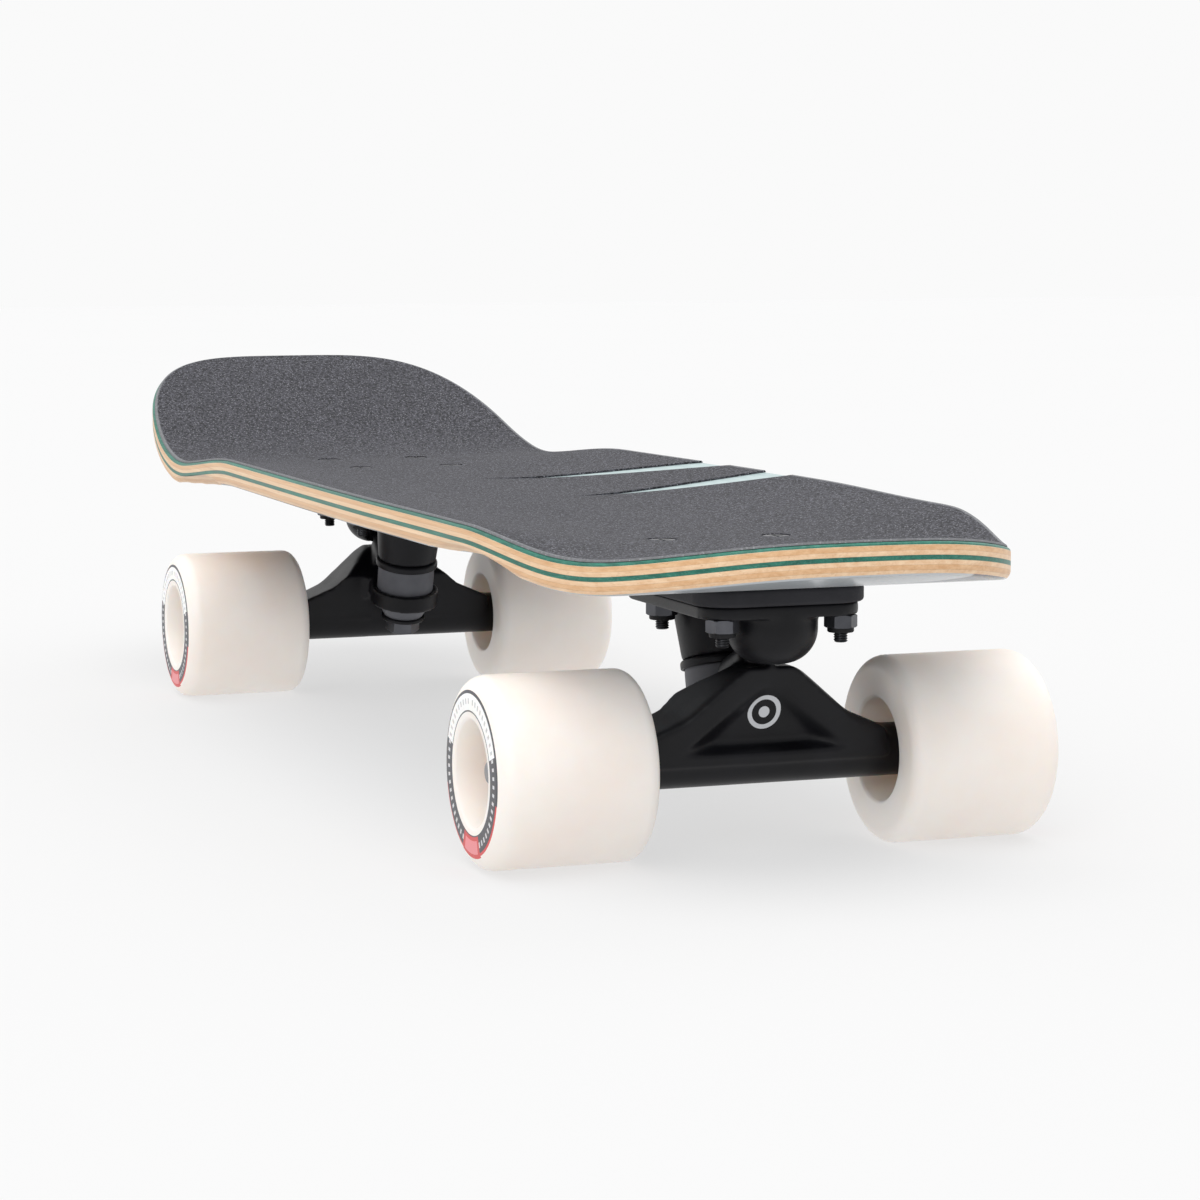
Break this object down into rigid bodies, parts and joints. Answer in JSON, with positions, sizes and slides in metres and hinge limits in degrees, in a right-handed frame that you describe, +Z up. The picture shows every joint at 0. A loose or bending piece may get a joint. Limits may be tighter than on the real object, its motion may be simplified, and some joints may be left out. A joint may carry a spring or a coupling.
{
  "type": "skateboard",
  "caption": "Complete cruiser skateboard: concave seven-ply kicktail deck with grip sheet, riser pads, kingpin trucks that steer on bushings and soft wheels on ball bearings.",
  "frame": {"origin": "on the ground under the middle of the deck's length, on the centre line", "axes": "+X towards the nose, +Y to the rider's left, +Z up"},
  "size_m": [0.6951, 0.1964, 0.1439],
  "materials": {
    "grip": "coarse dark grit",
    "dyed_veneer": "teal-dyed maple",
    "maple_veneer": "clear maple",
    "riser_plastic": "moulded black",
    "liner_plastic": "moulded black",
    "bushing_rubber": "dark grey urethane",
    "wheel_urethane": "cast off-white urethane",
    "painted_casting": "satin black paint on cast aluminium",
    "plain_steel": "zinc-plated",
    "bearing_steel": "ground bearing steel",
    "black_steel": "blackened steel"
  },
  "bodies": {
    "board": {"front_baseplate": "painted_casting", "front_board_bushing": "bushing_rubber", "front_board_washer": "black_steel", "front_kingpin": "black_steel", "front_kingpin_nut": "black_steel", "front_lock_nuts": "black_steel", "front_pivot_cup": "liner_plastic", "front_riser_pad": "riser_plastic", "front_road_bushing": "bushing_rubber", "front_road_washer": "black_steel", "front_truck_bolts": "black_steel", "grip_tape": "grip", "lower_core_plies": "maple_veneer", "middle_green_ply": "dyed_veneer", "rear_baseplate": "painted_casting", "rear_board_bushing": "bushing_rubber", "rear_board_washer": "black_steel", "rear_kingpin": "black_steel", "rear_kingpin_nut": "black_steel", "rear_lock_nuts": "black_steel", "rear_pivot_cup": "liner_plastic", "rear_riser_pad": "riser_plastic", "rear_road_bushing": "bushing_rubber", "rear_road_washer": "black_steel", "rear_truck_bolts": "black_steel", "top_teal_ply": "dyed_veneer", "upper_core_plies": "maple_veneer"},
    "front_hanger_set": {"front_axle": "plain_steel", "front_hanger": "painted_casting", "front_left_axle_nut": "plain_steel", "front_left_bearing_spacer": "plain_steel", "front_left_inner_races": "bearing_steel", "front_left_speed_rings": "plain_steel", "front_right_axle_nut": "plain_steel", "front_right_bearing_spacer": "plain_steel", "front_right_inner_races": "bearing_steel", "front_right_speed_rings": "plain_steel"},
    "front_left_wheel_set": {"front_left_outer_races": "bearing_steel", "front_left_wheel": "wheel_urethane"},
    "front_left_ball_set": {"front_left_bearing_balls": "bearing_steel"},
    "front_right_wheel_set": {"front_right_outer_races": "bearing_steel", "front_right_wheel": "wheel_urethane"},
    "front_right_ball_set": {"front_right_bearing_balls": "bearing_steel"},
    "rear_hanger_set": {"rear_axle": "plain_steel", "rear_hanger": "painted_casting", "rear_left_axle_nut": "plain_steel", "rear_left_bearing_spacer": "plain_steel", "rear_left_inner_races": "bearing_steel", "rear_left_speed_rings": "plain_steel", "rear_right_axle_nut": "plain_steel", "rear_right_bearing_spacer": "plain_steel", "rear_right_inner_races": "bearing_steel", "rear_right_speed_rings": "plain_steel"},
    "rear_left_wheel_set": {"rear_left_outer_races": "bearing_steel", "rear_left_wheel": "wheel_urethane"},
    "rear_left_ball_set": {"rear_left_bearing_balls": "bearing_steel"},
    "rear_right_wheel_set": {"rear_right_outer_races": "bearing_steel", "rear_right_wheel": "wheel_urethane"},
    "rear_right_ball_set": {"rear_right_bearing_balls": "bearing_steel"}
  },
  "joints": [
    {"name": "front_steer", "type": "hinge", "parent": "board", "child": "front_hanger_set", "pos_m": [0.2305, 0, 0.0445], "axis": [0.8192, 0, 0.5736], "range_deg": [-12, 12], "stiffness_Nm_per_rad": 40, "deforming": ["front_board_bushing", "front_road_bushing"]},
    {"name": "front_left_wheel_spin", "type": "hinge", "parent": "front_hanger_set", "child": "front_left_wheel_set", "pos_m": [0.2568, 0.0711, 0.0315], "axis": [0, 1, 0], "continuous": true},
    {"name": "front_left_ball_spin", "type": "hinge", "parent": "front_hanger_set", "child": "front_left_ball_set", "pos_m": [0.2568, 0.0711, 0.0315], "axis": [0, 1, 0], "continuous": true},
    {"name": "front_right_wheel_spin", "type": "hinge", "parent": "front_hanger_set", "child": "front_right_wheel_set", "pos_m": [0.2568, -0.0711, 0.0315], "axis": [0, 1, 0], "continuous": true},
    {"name": "front_right_ball_spin", "type": "hinge", "parent": "front_hanger_set", "child": "front_right_ball_set", "pos_m": [0.2568, -0.0711, 0.0315], "axis": [0, 1, 0], "continuous": true},
    {"name": "rear_steer", "type": "hinge", "parent": "board", "child": "rear_hanger_set", "pos_m": [-0.1475, 0, 0.0445], "axis": [-0.8192, 0, 0.5736], "range_deg": [-12, 12], "stiffness_Nm_per_rad": 40, "deforming": ["rear_board_bushing", "rear_road_bushing"]},
    {"name": "rear_left_wheel_spin", "type": "hinge", "parent": "rear_hanger_set", "child": "rear_left_wheel_set", "pos_m": [-0.1738, 0.0711, 0.0315], "axis": [0, 1, 0], "continuous": true},
    {"name": "rear_left_ball_spin", "type": "hinge", "parent": "rear_hanger_set", "child": "rear_left_ball_set", "pos_m": [-0.1738, 0.0711, 0.0315], "axis": [0, 1, 0], "continuous": true},
    {"name": "rear_right_wheel_spin", "type": "hinge", "parent": "rear_hanger_set", "child": "rear_right_wheel_set", "pos_m": [-0.1738, -0.0711, 0.0315], "axis": [0, 1, 0], "continuous": true},
    {"name": "rear_right_ball_spin", "type": "hinge", "parent": "rear_hanger_set", "child": "rear_right_ball_set", "pos_m": [-0.1738, -0.0711, 0.0315], "axis": [0, 1, 0], "continuous": true}
  ],
  "couplings": [
    {"joint": "front_left_ball_spin", "follows": "front_left_wheel_spin", "ratio": 0.63233},
    {"joint": "front_right_ball_spin", "follows": "front_right_wheel_spin", "ratio": 0.63233},
    {"joint": "rear_left_ball_spin", "follows": "rear_left_wheel_spin", "ratio": 0.63233},
    {"joint": "rear_right_ball_spin", "follows": "rear_right_wheel_spin", "ratio": 0.63233}
  ]
}
